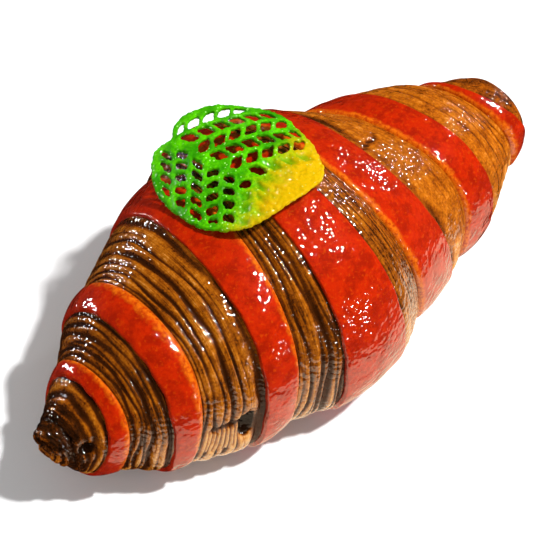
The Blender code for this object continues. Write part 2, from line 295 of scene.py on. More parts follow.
def section(x, turn, push=0.0):
    """A place round the section at a station, pushed outwards by a relief."""
    reach = half_width(x)
    reach += push * min(1.0, reach / END_RADIUS)
    c, s = math.cos(turn), math.sin(turn)
    y = reach * power(c, 2 / ROUNDNESS)
    share = (1 - WIDEST_AT) if s >= 0 else WIDEST_AT
    z = tallness(x) * share * reach * power(s, 2 / (ROUNDNESS if s >= 0 else BASE_BOXINESS))
    return y, z


TILT_STOPS = [(-HALF_LENGTH, *NEAR_TIP_TILT), *((s[0], s[2], s[3]) for s in SEAMS),
              (HALF_LENGTH, *FAR_TIP_TILT)]
STRETCHES = [-HALF_LENGTH] + [s[0] for s in SEAMS] + [HALF_LENGTH]
KINDS = ["tip"] + [s[1] for s in SEAMS] + ["tip"]


def seam_tilt(x):
    """How a ring of the roll leans in plan and slants in elevation, between its two seams."""
    i = min(max(bisect.bisect_left(STRETCHES, x), 1), len(STRETCHES) - 1)
    before, after = TILT_STOPS[i - 1], TILT_STOPS[i]
    t = (x - before[0]) / (after[0] - before[0])
    return tuple(a + (b - a) * t for a, b in zip(before[1:], after[1:]))


def band_at(x):
    """The stretch a station lies in: its number, its width, and the distances from its ends."""
    i = min(max(bisect.bisect_left(STRETCHES, x) - 1, 0), len(STRETCHES) - 2)
    return i, STRETCHES[i + 1] - STRETCHES[i], x - STRETCHES[i], STRETCHES[i + 1] - x


def from_rim(x):
    """The share of its band that lies between a station and the band's rim."""
    i, width, after_start, before_end = band_at(x)
    if KINDS[i] == "rim":
        return after_start / width
    if KINDS[i + 1] == "rim":
        return before_end / width
    return 1.0


def crease(x):
    """How deep the crease is at the rim of the band that a station lies in."""
    i = band_at(x)[0]
    rim = i if KINDS[i] == "rim" else i + 1
    if KINDS[rim] != "rim":
        return 0.0
    narrower = min(STRETCHES[rim] - STRETCHES[rim - 1], STRETCHES[rim + 1] - STRETCHES[rim])
    return NOTCH * min(1.0, narrower / WIDE)


def swell(x):
    """The wraps' rounded relief: low in the crease at a rim, full at the cut edge."""
    notch = crease(x)
    return -notch + (notch + SWELL) * (1 - (1 - from_rim(x)) ** 2)


def hollow_depth(x, turn):
    """How deep a place lies in the torn hole or in the hollow of the rolled end."""
    depth = 0.0
    for station, degrees, half_length, half_girth, deepest in HOLLOWS:
        swing = math.remainder(turn - math.radians(degrees), math.tau)
        reach = ((x - station) / half_length) ** 2 + (swing * half_width(x) / half_girth) ** 2
        depth += deepest * math.exp(-reach)
    return depth


def held_back(station, x):
    """Keeps the last seam off the far end's face, where its slant would carry it."""
    over = x - SLANT_FREE
    if over <= 0.0:
        return x
    reach = SLANT_END - SLANT_FREE
    held = SLANT_FREE + reach * (1.0 - math.exp(-over / reach))
    last = SEAMS[-1][0]
    share = max(0.0, (station - last) / (HALF_LENGTH - last)) ** 2
    return held + (x - held) * share


def skin_point(x, turn, push):
    """A point of the skin, in millimetres, for a station, an angle and a relief."""
    lean, slant = seam_tilt(x)
    y, z = section(x, turn)
    x = held_back(x, x + lean * y + slant * z)
    push += UNEVEN * noise.noise(Vector((x, y, z)) / UNEVEN_PITCH)
    y, z = section(x, turn, push)
    sideways, level = centre_line(x)
    x = min(max(x, -HALF_LENGTH), HALF_LENGTH)
    return Vector((x, y + sideways, max(z + level - FLAT_BASE, 0.0)))


def end_step(x, height):
    """How far a relief moves a place along the roll on the far end's steep face.

    An outward push alone would leave the sheet and the layers in one plane there.
    """
    inside = smoothstep(SLANT_FREE, FAR_FACE_FROM, x)
    return (height - SHEET_STEP) * inside * smoothstep(HALF_LENGTH, FAR_FACE_TO, x)


def roll_mark(x, turn):
    """The place on the roll that the materials read: its station and where it lies round it."""
    share = min(1.0, half_width(x) / FACE_RADIUS)
    return x, share * math.cos(turn), share * math.sin(turn)


def ring_noise(x, turn, along, around, seed):
    """Noise that runs round the roll without a joint, stretched by its scales."""
    place = Vector((x * along, math.cos(turn) * around + seed, math.sin(turn) * around - seed))
    return noise.noise(place)


def layer_relief(x, turn):
    """The cut layers' height and their shade: 0 in a groove, 1 on a ridge. The shade is partly the
    grooves' darker bake and partly painted shade.
    """
    i, _, after_start, before_end = band_at(x)
    cut = after_start if KINDS[i] == "edge" else before_end
    slow = ring_noise(x, turn, 0.1, 1.5, 3.0 * i)
    low = smoothstep(0.5, -0.1, math.sin(turn))
    height, shade = 0.0, 1.0
    for number, (place, half_width_of, depth) in enumerate(GROOVES[i // 2]):
        own = ring_noise(0.0, turn, 1.0, 2.4, 7.0 * i + 3.1 * number)
        stray = GROOVE_WANDER * (slow + own) * min(1.0, half_width(x) / BLUNT_FROM)
        off = cut - place + stray
        come_and_go = ring_noise(0.0, turn, 1.0, 1.8, 5.0 * i + 2.3 * number)
        strength = 0.85 + 0.35 * low + 0.6 * come_and_go
        strength = CUT[i // 2] * min(max(strength, 0.2), 1.3)
        wide = GROOVE_WIDTH * half_width_of
        strength *= min(1.0, wide / FINEST_GROOVE)
        fill = strength * math.exp(-abs(off / max(wide, FINEST_GROOVE)) ** 1.5)
        height -= GROOVE_DEPTH * depth * fill
        # A groove is darkened partly for its darker bake, partly with painted shade.
        shade = min(shade, 1.0 - min(fill, 1.0))
    fine = ring_noise(x, turn, 2.2, 2.5, 7.0 + i)
    height += FINE_DEPTH * fine * (0.5 + 0.5 * low)
    wrinkled = wrinkle(x, turn)
    # The crease is dented and also darkened with painted shade.
    return height - WRINKLE_DEPTH * wrinkled, min(shade, 1.0 - 0.8 * wrinkled)


def wrinkle(x, turn):
    """How far a place lies in the crease that crosses the sixth band, from 0 to 1."""
    along = (x - WRINKLE_START[0]) / (WRINKLE_END[0] - WRINKLE_START[0])
    bend = 2.5 * math.sin(math.pi * along) + 2.0 * noise.noise(Vector((0.4 * x, 3.0, 0.0)))
    middle = WRINKLE_START[1] + (WRINKLE_END[1] - WRINKLE_START[1]) * along + bend
    off = math.radians(math.remainder(math.degrees(turn) - middle, 360.0)) * half_width(x)
    window = smoothstep(-0.2, 0.0, along) * smoothstep(1.0, 0.6, along)
    return window * math.exp(-((off / WRINKLE_HALF) ** 2))


def torn_patch(x, turn):
    """How far a place lies in the strip of torn layers low on the third band, from 0 to 1."""
    along = math.exp(-((x - TORN_MIDDLE) / TORN_HALF) ** 4)
    degrees = math.degrees(turn) % 360.0
    return along * smoothstep(*TORN_ABOVE, degrees) * smoothstep(*reversed(TORN_BELOW), degrees)


def torn_edge(x, turn):
    """How far a place lies in the split above the torn strip, from 0 to 1."""
    along = math.exp(-((x - SPLIT_MIDDLE) / SPLIT_HALF) ** 4)
    middle = SPLIT_AT + 1.5 * noise.noise(Vector((0.5 * x, 5.0, 0.0)))
    return along * math.exp(-(((math.degrees(turn) % 360.0 - middle) / SPLIT_WIDTH) ** 2))


def torn_relief(x, turn, height, shade):
    """The layers' height and shade with the torn strip in them, and how far they are torn."""
    torn = torn_patch(x, turn)
    rib = math.sin(math.tau * x / TORN_PITCH + 5.0 * ring_noise(x, turn, 0.3, 3.0, 2.0))
    height += torn * (RIB_HEIGHT * rib - TORN_DEPTH - height)
    # Between the ribs the strip is darkened with painted shade.
    shade += torn * (0.65 + 0.35 * rib - shade)
    # The split above the strip is darkened with painted shade, the shadow under its overhang.
    split = torn_edge(x, turn)
    return height - SPLIT_DEPTH * split, shade * (1.0 - 0.9 * split), torn


def rolled_end(x, turn):
    """The rough, spiralling end face of the roll with its curled lip.

    Gives its height, its shade and how far it is sunk along the roll.
    """
    radius = half_width(x)
    place = Vector((radius * math.cos(turn), radius * math.sin(turn), 17.0))
    inside = smoothstep(*FACE_EDGE, x)
    lip = math.exp(-(((x - LIP_STATION) / LIP_HALF) ** 2))
    lip *= 0.6 + 0.4 * math.cos(turn - math.radians(LIP_TURN))
    spiral = abs(math.sin(math.pi * radius / SPIRAL_PITCH + turn / 2)) ** 0.6
    rough = noise.noise(place * 0.55) + 0.7 * noise.noise(place * 1.3)
    sunk = inside * max(0.0, 0.3 + 0.6 * (1 - spiral) + 0.7 * rough)
    height = LIP_HEIGHT * lip - inside * (0.4 + 0.5 * (1 - spiral) - 0.4 * rough)
    # Between the spiral's turns the face is darkened, partly its darker bake, partly painted
    # shade.
    return height, 1.0 - inside * (1.0 - 0.8 * spiral), sunk


# ---- Meshes ----
SPIN_RADIUS = 10.0  # a chain's heights are added to this while it is spun


MOST_CORNERS = 1e6  # more than any mesh here has


def in_order(part):
    """A number that puts a mesh's edges or faces in the order of their corners."""
    corners = sorted(vert.index for vert in part.verts)
    return corners[0] + corners[-1] / MOST_CORNERS


def spin_chain(chain, around, closed):
    """Spins a chain of (station, height) about the X axis; a height of None is a pole."""
    bm = bmesh.new()
    verts = []
    for x, height in chain:
        verts.append(bm.verts.new((x, 0.0 if height is None else SPIN_RADIUS + height, 0.0)))
    pairs = list(zip(verts, verts[1:])) + ([(verts[-1], verts[0])] if closed else [])
    edges = [bm.edges.new(pair) for pair in pairs]
    bmesh.ops.spin(bm, geom=verts + edges, cent=(0, 0, 0), axis=(1, 0, 0), angle=math.tau,
                   steps=around, use_merge=True)
    if not closed:
        poles = [v for v in bm.verts if v.co.yz.length < TINY]
        bmesh.ops.remove_doubles(bm, verts=poles, dist=TINY)
    bm.verts.index_update()
    bm.edges.sort(key=in_order)  # the spin leaves them in another order each run
    bm.faces.sort(key=in_order)
    return bm


def spun_place(vert):
    """The station, the angle and the height of a vertex before it is sculpted."""
    radius = vert.co.yz.length
    turn = math.atan2(vert.co.z, vert.co.y)
    return vert.co.x, turn, 0.0 if radius < TINY else radius - SPIN_RADIUS


def add_piece(name, bm, marks, material, node):
    """Makes a piece of a mesh in millimetres, with its per-vertex marks as attributes."""
    bmesh.ops.recalc_face_normals(bm, faces=bm.faces)
    bmesh.ops.scale(bm, vec=(MM, MM, MM), verts=bm.verts)
    mesh = bpy.data.meshes.new(name)
    bm.to_mesh(mesh)
    bm.free()
    for mark, values in marks.items():
        if isinstance(values[0], (tuple, list, Vector)):
            layer = mesh.attributes.new(mark, "FLOAT_VECTOR", "POINT")
            layer.data.foreach_set("vector", [c for value in values for c in value])
        else:
            layer = mesh.attributes.new(mark, "FLOAT", "POINT")
            layer.data.foreach_set("value", values)
    mesh.materials.append(material)
    mesh.shade_smooth()
    piece = bpy.data.objects.new(name, mesh)
    bpy.context.scene.collection.objects.link(piece)
    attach(piece, "root")
    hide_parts(node)
    return piece


def spaced(start, end, pitch):
    """Stations from start to end, about a pitch apart."""
    count = max(1, round(abs(end - start) / pitch))
    return [start + (end - start) * n / count for n in range(count + 1)]


def make_layers(material):
    """The brown roll with its cut layers; it runs on, lower, under the coloured sheets."""
    chain = [(-HALF_LENGTH, None)]
    for i, (start, end) in enumerate(zip(STRETCHES, STRETCHES[1:])):
        if i % 2:
            chain += [(x, -UNDER_SHEET) for x in spaced(start + LIP, end - LIP, HIDDEN_RINGS)]
        else:
            low = start + (TIP_REACH if i == 0 else 0.0)
            high = end - (TIP_REACH if end == HALF_LENGTH else 0.0)
            near_face = spaced(start + TIP_RINGS, low, TIP_RINGS)[:-1] if i == 0 else []
            far_face = spaced(high, end - TIP_RINGS, TIP_RINGS)[1:] if high < end else []
            chain += [(x, 0.0) for x in near_face + spaced(low, high, LAYER_RINGS) + far_face]
    chain.append((HALF_LENGTH, None))
    bm = spin_chain(chain, ROLL_AROUND, False)
    rolls, shades, bakes_and_shades = [], [], []
    for vert in bm.verts:
        x, turn, height = spun_place(vert)
        shade, bake_and_shade, sunk = 0.0, BAKED[band_at(x)[0] // 2], 0.0
        if height > -UNDER_SHEET / 2:
            height, shade, torn = torn_relief(x, turn, *layer_relief(x, turn))
            bake_and_shade -= 0.4 * torn
            if x < STRETCHES[1]:
                # The rolled end is darker, partly its bake and partly painted shade.
                bake_and_shade += 0.2 - 0.8 * smoothstep(*NUB_SHADOW, x)
                rise, share, sunk = rolled_end(x, turn)
                height += rise
                shade *= share
        hollow = hollow_depth(x, turn)
        push = swell(x) + height - HOLLOWER * hollow
        # The deep part of a hollow is darkened with painted shade, through both marks.
        pit = smoothstep(*HOLLOW_DARK, hollow)
        shade *= 1.0 - pit
        bake_and_shade = max(bake_and_shade, 4.0 * pit)
        vert.co = skin_point(x, turn, push)
        vert.co.x += sunk + end_step(vert.co.x, height)
        rolls.append(roll_mark(x, turn))
        shades.append(shade)
        bakes_and_shades.append(bake_and_shade)
    return add_piece("layered_roll", bm, {"roll": rolls, "shade": shades, "bake_and_shade": bakes_and_shades}, material,
                     "croissant")


def sheet_profile(start, end, rims):
    """The closed section of one sheet: rounded at its cut edges, dipping in at its rims."""
    outside = []
    for x in spaced(start, end, SHEET_RINGS):
        height = SHEET_STEP
        for rim in rims:
            risen = smoothstep(RIM_START, RIM_RISE, abs(x - rim))
            height = min(height, (SHEET_STEP + SHEET_SINK) * risen - SHEET_SINK)
        outside.append((x, height))
    bevel, corner = SHEET_STEP - EDGE_BEVEL, SHEET_STEP - EDGE_ROUND
    if end not in rims:
        outside[-1] = (end - EDGE_ROUND, SHEET_STEP)
        outside += [(end - EDGE_BEVEL, bevel), (end, corner), (end, EDGE_FOOT)]
    if start not in rims:
        outside[0] = (start + EDGE_ROUND, SHEET_STEP)
        outside = [(start, EDGE_FOOT), (start, corner), (start + EDGE_BEVEL, bevel)] + outside
    return outside + [(x, SHEET_BACK) for x in reversed(spaced(start, end, HIDDEN_RINGS))]


def make_sheet(number, start, end, material):
    """One stretch of the coloured sheet, from where it comes out of a rim to its cut edge."""
    rims = [x for x, kind in ((start, KINDS[number]), (end, KINDS[number + 1])) if kind == "rim"]
    bm = spin_chain(sheet_profile(start, end, rims), SHEET_AROUND, True)
    rolls, gaps = [], []
    for vert in bm.verts:
        x, turn, height = spun_place(vert)
        within = min(max(x, start + TINY), end - TINY)
        push = swell(within) + height - 0.5 * hollow_depth(x, turn)
        if height > 0.2:
            push += 0.1 * ring_noise(x, turn, 0.3, 5.0, 31.0)
        wave = EDGE_WANDER * ring_noise(0.0, turn, 1.0, 5.0, 5.0 * number)
        wave *= min(1.0, half_width(within) / BLUNT_FROM)
        vert.co = skin_point(x + wave * from_rim(within), turn, push)
        vert.co.x += end_step(vert.co.x, height)
        rolls.append(roll_mark(x, turn))
        gaps.append(min([abs(x - rim) for rim in rims] + [RIM_GAP_MOST]))
    return add_piece(f"red_sheet_{(number + 1) // 2}", bm, {"roll": rolls, "rim_gap": gaps},
                     material, "croissant")


# ---- The leaf ----
def vein_point(along):
    """A place on the main vein, which bows sideways."""
    return Vector((along, -VEIN_BOW * math.sin(math.pi * along / LEAF_LENGTH), 0.0))


def outline_limit(point):
    """How far inside the leaf's outline a point lies."""
    spoke = point.xy - Vector(LEAF_MIDDLE)
    angle = math.degrees(math.atan2(spoke.y, spoke.x)) % 360.0
    return leaf_radius(angle) - spoke.length


def into_filled(point):
    """How far past the line a point lies where the batter ran together."""
    return point.x - FILLED_SLOPE * max(point.y, 0.0) - FILLED_BEYOND


def branch_root(offset, normal):
    """Where the row that lies at an offset along its normal meets the main vein."""
    along = offset / normal.x
    for _ in range(3):
        along = (offset - vein_point(along).y * normal.y) / normal.x
    return vein_point(along)


def cell_frames():
    """Each cell of the lace as its middle, half its length and half its width."""
    frames = []
    for degrees, first_row, row_pitch, first_cell, cell_pitch, leans in BRANCHES:
        turn = math.radians(degrees)
        side = math.copysign(1.0, turn)
        along = Vector((math.cos(turn), math.sin(turn), 0.0))
        across = Vector((math.sin(turn), -math.cos(turn), 0.0)) * side
        for row in range(ROWS):
            root = branch_root(first_row + row_pitch * row, across)
            lean = leans[row % len(leans)]
            half_long = along * (cell_pitch - BAR) / 2
            half_wide = (across + along * lean) * (row_pitch - BAR) / 2
            for step in range(CELLS):
                middle = root + along * (first_cell + cell_pitch * step)
                if outline_limit(middle) > LEAF_RIM + CELL_MARGIN:
                    frames.append((middle, half_long, half_wide))
    return frames


def leaf_height(x, y):
    """The leaf's dome and its ripple."""
    fall = DOME[0] * (x - DOME_MIDDLE[0]) ** 2 + DOME[1] * (y - DOME_MIDDLE[1]) ** 2
    return RIPPLE * noise.noise(Vector((x, y, 0.0)) / 9.0) - fall


def pit_depth(point, dimples):
    """How deep a point lies in one of the dimples, which fade out in the filled part."""
    faded = smoothstep(0.0, FILLED_REACH, into_filled(point))
    depth = 0.0
    for middle, half_long, half_wide in dimples:
        off = point - middle
        across = half_long.x * half_wide.y - half_long.y * half_wide.x
        a = (off.x * half_wide.y - off.y * half_wide.x) / across
        b = (half_long.x * off.y - half_long.y * off.x) / across
        depth = max(depth, smoothstep(1.3, 0.3, max(abs(a), abs(b))))
    return depth * (1.0 - 0.85 * faded)


def cell_corner(point, middle):
    """Keeps a corner of a cell off the main vein and off the border."""
    side = math.copysign(1.0, middle.y - vein_point(middle.x).y)
    off = side * (point.y - vein_point(point.x).y)
    point.y += side * max(0.0, VEIN_HALF - off)
    spoke = point.xy - Vector(LEAF_MIDDLE)
    limit = (spoke.length + outline_limit(point) - LEAF_RIM) / spoke.length
    point.xy = Vector(LEAF_MIDDLE) + spoke * min(1.0, limit)
    return point


def flat_lace():
    """The leaf's flat outline filled round its cells, and the cells that stay as dimples."""
    bm = bmesh.new()
    ring = bmesh.ops.create_circle(bm, segments=OUTLINE_POINTS, radius=1.0)["verts"]
    for vert in ring:
        angle = math.degrees(math.atan2(vert.co.y, vert.co.x)) % 360.0
        rough = 0.18 * noise.noise(vert.co * 9.0) - 0.1
        vert.co = Vector((*LEAF_MIDDLE, 0.0)) + vert.co * (leaf_radius(angle) + rough)
    dimples = []
    for middle, half_long, half_wide in cell_frames():
        if into_filled(middle) > 0.0:
            dimples.append((middle, half_long, half_wide))
            continue
        cell = bmesh.ops.create_circle(bm, segments=CELL_POINTS, radius=1.0)["verts"]
        for vert in cell:
            part_long, part_wide = (power(v, CELL_CORNER) for v in vert.co.xy)
            corner = middle + half_long * part_long + half_wide * part_wide
            shift = noise.noise(corner * 0.6), noise.noise(corner * 0.6 + Vector((9.1, 4.3, 2.7)))
            corner.xy += Vector(shift) * CELL_WOBBLE
            vert.co = cell_corner(corner, middle)
    bmesh.ops.triangle_fill(bm, edges=bm.edges, use_beauty=True, normal=(0, 0, 1))
    return bm, dimples


def make_leaf(material):
    """Thickens and rounds the flat lace, then bends it to its dome."""
    bm, dimples = flat_lace()
    bmesh.ops.recalc_face_normals(bm, faces=bm.faces)
    bmesh.ops.solidify(bm, geom=bm.faces[:], thickness=LEAF_THICK)
    bmesh.ops.recalc_face_normals(bm, faces=bm.faces)
    bm = remeshed(bm, LEAF_VOXEL)
    for _ in range(LEAF_SMOOTHING):
        bmesh.ops.smooth_vert(bm, verts=bm.verts, factor=0.5, use_axis_x=True, use_axis_y=True,
                              use_axis_z=True)
    turn = Matrix.Rotation(math.radians(LEAF_TURN), 4, "Z")
    place = Matrix.Translation((*LEAF_BASE, 0.0)) @ turn
    bm.normal_update()
    spots = []
    for vert in bm.verts:
        flat = vert.co.copy()
        grit = noise.noise(flat * 1.3) * LEAF_GRIT + noise.noise(flat * 0.6) * LEAF_LUMPS
        pit = 0.0
        if flat.x > FILLED_BEYOND - DIMPLES_FROM and vert.normal.z > 0.2:
            pit = pit_depth(flat, dimples)
        flat += vert.normal * (grit - DIMPLE * pit)
        spots.append((vert.co.x, vert.co.y, pit))
        vert.co = place @ flat
        vert.co.z += leaf_height(vert.co.x, vert.co.y)
    top = max(v.co.z for v in bm.verts)
    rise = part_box("lace_leaf")[1].z / MM - top
    bmesh.ops.translate(bm, vec=(0.0, 0.0, rise), verts=bm.verts)
    return add_piece("lace_wafer", bm, {"leaf": spots}, material, "lace_leaf")


def remeshed(bm, voxel):
    """The same closed form as an even mesh."""
    mesh = bpy.data.meshes.new("rough_form")
    bm.to_mesh(mesh)
    bm.free()
    form = bpy.data.objects.new("rough_form", mesh)
    bpy.context.scene.collection.objects.link(form)
    even = form.modifiers.new("even", "REMESH")
    even.mode = "VOXEL"
    even.voxel_size = voxel
    graph = bpy.context.evaluated_depsgraph_get()
    result = bmesh.new()
    result.from_mesh(form.evaluated_get(graph).to_mesh())
    bpy.data.objects.remove(form, do_unlink=True)
    bpy.data.meshes.remove(mesh)
    return result


# ---- Materials ----
# How many of each there are to a metre.
BUBBLES = 650.0
LEAF_BUBBLES = 1100.0
GRIT = 1500.0
BLOTCHES = 260.0

# How deep they are, in metres.
BUBBLE_DEPTH = 0.28 * MM
BLISTER_DEPTH = 0.22 * MM
GRIT_DEPTH = 0.15 * MM

COAT_ROUGHNESS = 0.045
COAT_IOR = 1.8
DULL = 0.02  # the specular level under a glaze, which does the shining

DARK_CRUST = (0.008, 0.002, 0.0001)
BROWN_CRUST = (0.065, 0.014, 0.0006)
TAN_CRUST = (0.220, 0.052, 0.0015)
GOLD_CRUST = (0.400, 0.118, 0.0040)
PALE_CRUST = (0.620, 0.290, 0.0700)
WARMER = (1.25, 1.0, 0.55)  # multiplies the colours of the far bands
RED_DEEP = (0.260, 0.0075, 0.0001)
RED_BRIGHT = (0.400, 0.0135, 0.0001)
RED_SPECK = (0.480, 0.050, 0.0006)
RIM_ORANGE = (0.600, 0.120, 0.0030)
LEAF_GREEN = (0.085, 0.480, 0.0006)
# A deep green, used also for the painted shade in the dimples.
LEAF_DEEP_AND_SHADE = (0.022, 0.220, 0.0006)
LEAF_YELLOW = (0.530, 0.310, 0.0006)
# Pale specks of painted glint on the leaf.
LEAF_PAINTED_GLINT = (0.450, 0.850, 0.2000)
TABLE_GREY = (0.80, 0.80, 0.80)
TABLE_PALE = (0.84, 0.84, 0.84)


def new_material(name):
    """A material and the short calls that build it."""
    material = bpy.data.materials.new(name)
    material.use_nodes = True
    return material, Nodes(material.node_tree)


class Nodes:
    """Short calls for the nodes of one material."""

    def __init__(self, tree):
        self.tree = tree
        self.shader = tree.nodes["Principled BSDF"]

    def link(self, source, target):
        """Links another node's output to a socket, or sets the socket's own value."""
        if hasattr(source, "is_output"):
            self.tree.links.new(source, target)
        else:
            target.default_value = source

    def mark(self, name, output="Vector"):
        """A mark that the mesh holds at each vertex."""
        node = self.tree.nodes.new("ShaderNodeAttribute")
        node.attribute_name = name
        return node.outputs[output]

    def stretch(self, vector, scale):
        """A place measured in other units along each axis."""
        node = self.tree.nodes.new("ShaderNodeMapping")
        node.inputs["Scale"].default_value = scale
        self.tree.links.new(vector, node.inputs["Vector"])
        return node.outputs["Vector"]

    def parts(self, vector):
        """A vector's three numbers."""
        node = self.tree.nodes.new("ShaderNodeSeparateXYZ")
        self.tree.links.new(vector, node.inputs[0])
        return node.outputs

    def objects(self):
        """The place on the object, in metres."""
        return self.tree.nodes.new("ShaderNodeTexCoord").outputs["Object"]

    def noise(self, vector, scale, detail=2.0, roughness=0.5, distortion=0.0):
        """Soft noise, mostly between 0.3 and 0.7."""
        node = self.tree.nodes.new("ShaderNodeTexNoise")
        self.tree.links.new(vector, node.inputs["Vector"])
        node.inputs["Scale"].default_value = scale
        node.inputs["Detail"].default_value = detail
        node.inputs["Roughness"].default_value = roughness
        node.inputs["Distortion"].default_value = distortion
        return node.outputs["Fac"]

    def cells(self, vector, scale, output="Distance"):
        """Cells side by side: how far the nearest one's middle is, or that cell's own colour."""
        node = self.tree.nodes.new("ShaderNodeTexVoronoi")
        self.tree.links.new(vector, node.inputs["Vector"])
        node.inputs["Scale"].default_value = scale
        return node.outputs[output]

    def bubbles(self, vector, scale):
        """Small round domes side by side, one to each cell."""
        away = self.cells(vector, scale)
        return self.math("SUBTRACT", 1.0, self.math("MULTIPLY", away, away))

    def some_bubbles(self, vector, scale):
        """A weight that is full on some of the bubbles and low on the others."""
        return self.span(self.cells(vector, scale, "Color"), 0.40, 0.60, 0.06, 1.0)

    def math(self, operation, a, b=0.0, c=0.0):
        """One sum of up to three numbers or outputs."""
        node = self.tree.nodes.new("ShaderNodeMath")
        node.operation = operation
        for value, socket in zip((a, b, c), node.inputs):
            self.link(value, socket)
        return node.outputs[0]

    def span(self, value, low, high, to_low=0.0, to_high=1.0):
        """Eases a value from to_low, where it is low, to to_high, where it is high."""
        node = self.tree.nodes.new("ShaderNodeMapRange")
        node.interpolation_type = "SMOOTHSTEP"
        ends = {"From Min": low, "From Max": high, "To Min": to_low, "To Max": to_high}
        for name, number in ends.items():
            node.inputs[name].default_value = number
        self.tree.links.new(value, node.inputs["Value"])
        return node.outputs["Result"]

    def blend(self, amount, a, b, mode="MIX"):
        """The colour a, with b laid over it by an amount."""
        node = self.tree.nodes.new("ShaderNodeMix")
        node.data_type = "RGBA"
        node.blend_type = mode
        self.link(amount, node.inputs[0])
        for colour, socket in ((a, node.inputs[6]), (b, node.inputs[7])):
            self.link((*colour, 1.0) if isinstance(colour, tuple) else colour, socket)
        return node.outputs[2]

    def ramp(self, amount, stops):
        """A colour that runs through its stops, each a place and a colour."""
        node = self.tree.nodes.new("ShaderNodeValToRGB")
        line = node.color_ramp
        while len(line.elements) < len(stops):
            line.elements.new(0.5)
        for element, (place, colour) in zip(line.elements, stops):
            element.position = place
            element.color = (*colour, 1.0)
        self.tree.links.new(amount, node.inputs["Fac"])
        return node.outputs["Color"]

    def bump(self, height, distance, strength=1.0, under=None):
        """A normal with fine relief, over another one where that is given."""
        node = self.tree.nodes.new("ShaderNodeBump")
        node.inputs["Distance"].default_value = distance
        node.inputs["Strength"].default_value = strength
        self.tree.links.new(height, node.inputs["Height"])
        if under:
            self.tree.links.new(under, node.inputs["Normal"])
        return node.outputs["Normal"]

    def finish(self, colour, roughness, normal, coat=0.0, glaze=None, specular=0.5):
        """Sets up the shader; a glaze is the normal of a clear coat."""
        self.link(colour, self.shader.inputs["Base Color"])
        self.link(roughness, self.shader.inputs["Roughness"])
        self.link(normal, self.shader.inputs["Normal"])
        self.shader.inputs["Specular IOR Level"].default_value = specular
        if glaze:
            self.link(coat, self.shader.inputs["Coat Weight"])
            self.shader.inputs["Coat Roughness"].default_value = COAT_ROUGHNESS
            self.shader.inputs["Coat IOR"].default_value = COAT_IOR
            self.link(glaze, self.shader.inputs["Coat Normal"])


def layers_finish():
    """Glazed cut layers: gritty gold on the ridges, near black in the grooves from their darker
    bake and painted shade.
    """
    material, make = new_material("glazed_layers")
    place = make.objects()
    roll = make.mark("roll")
    station, _, level = make.parts(roll)
    # The marks darken grooves, creases, splits, hollows and the rolled end: partly a darker bake,
    # partly painted shade.
    cut = make.mark("shade", "Fac")
    shade = make.span(cut, 0.15, 0.9, 0.16, 1.0)
    lines = make.noise(make.stretch(roll, (2.6, 3.2, 3.2)), 1.0, 3.0, 0.65)
    blotch = make.noise(place, BLOTCHES, 3.0, 0.65)
    grit = make.noise(place, GRIT, 3.0, 0.7)
    near = make.span(station, 0.0, 40.0, 1.0, 0.1)
    # The lines fade out towards the far end; patches, grit and the bands' own bake and painted
    # shade stay.
    tone = make.math("MULTIPLY_ADD", make.math("SUBTRACT", lines, 0.5), near, 0.62)
    tone = make.math("MULTIPLY_ADD", make.math("SUBTRACT", blotch, 0.5), 0.9, tone)
    tone = make.math("MULTIPLY_ADD", make.math("SUBTRACT", grit, 0.5), 0.85, tone)
    tone = make.math("MULTIPLY_ADD", make.mark("bake_and_shade", "Fac"), -0.45, tone)
    tone = make.math("ADD", tone, make.span(level, 0.3, -0.15, 0.0, 0.4))  # paler low down
    tone = make.math("MULTIPLY", tone, shade)
    colour = make.ramp(tone, ((0.0, DARK_CRUST), (0.25, BROWN_CRUST), (0.48, TAN_CRUST),
                              (0.72, GOLD_CRUST), (1.0, PALE_CRUST)))
    far = make.span(station, -10.0, 50.0, 0.0, 0.5)
    colour = make.blend(far, colour, make.blend(1.0, colour, WARMER, "MULTIPLY"))
    fine = make.noise(make.stretch(roll, (5.0, 3.0, 3.0)), 1.0, 3.0, 0.6)
    normal = make.bump(fine, 0.25 * MM, 0.8)
    normal = make.bump(grit, GRIT_DEPTH, 0.8, normal)
    glaze = make.bump(make.bubbles(place, BUBBLES), BUBBLE_DEPTH)
    shiny = make.math("MAXIMUM", make.some_bubbles(place, BUBBLES), near)
    coat = make.math("MULTIPLY", make.span(cut, 0.1, 0.6, 0.25, 1.0), shiny)
    make.finish(colour, make.span(blotch, 0.3, 0.7, 0.5, 0.7), normal, coat, glaze, DULL)
    return material


def sheet_finish():
    """The glazed red sheet: mottled, finely blistered and orange where it comes out of a rim."""
    material, make = new_material("glazed_red_sheet")
    place = make.objects()
    mottle = make.noise(place, BLOTCHES, 4.0, 0.7)
    specks = make.noise(place, 1100.0, 3.0, 0.6)
    colour = make.blend(make.span(mottle, 0.36, 0.6), RED_DEEP, RED_BRIGHT)
    colour = make.blend(make.span(specks, 0.54, 0.72, 0.0, 0.5), colour, RED_SPECK)
    colour = make.blend(make.span(specks, 0.46, 0.32, 0.0, 0.5), colour, RED_DEEP)
    gap = make.math("SUBTRACT", make.mark("rim_gap", "Fac"), 1.75)
    gap = make.math("MULTIPLY_ADD", mottle, 3.5, gap)
    rim = make.span(gap, 0.8, 2.3, 0.95, 0.0)
    rim = make.math("MULTIPLY", rim, make.span(specks, 0.35, 0.6, 0.25, 1.0))
    colour = make.blend(rim, colour, RIM_ORANGE)
    wrinkle = make.noise(place, 300.0, 1.0, 0.5, 0.6)
    normal = make.bump(specks, 0.1 * MM, 0.5)
    glaze = make.bump(wrinkle, 0.5 * MM, 0.8)
    blistered = make.span(make.noise(place, 170.0, 1.0), 0.40, 0.58, 0.35, 1.0)
    blisters = make.math("MULTIPLY", make.bubbles(place, BUBBLES), blistered)
    glaze = make.bump(blisters, BLISTER_DEPTH, 1.0, glaze)
    make.finish(colour, make.span(mottle, 0.3, 0.7, 0.6, 0.5), normal, 0.8, glaze, DULL)
    return material


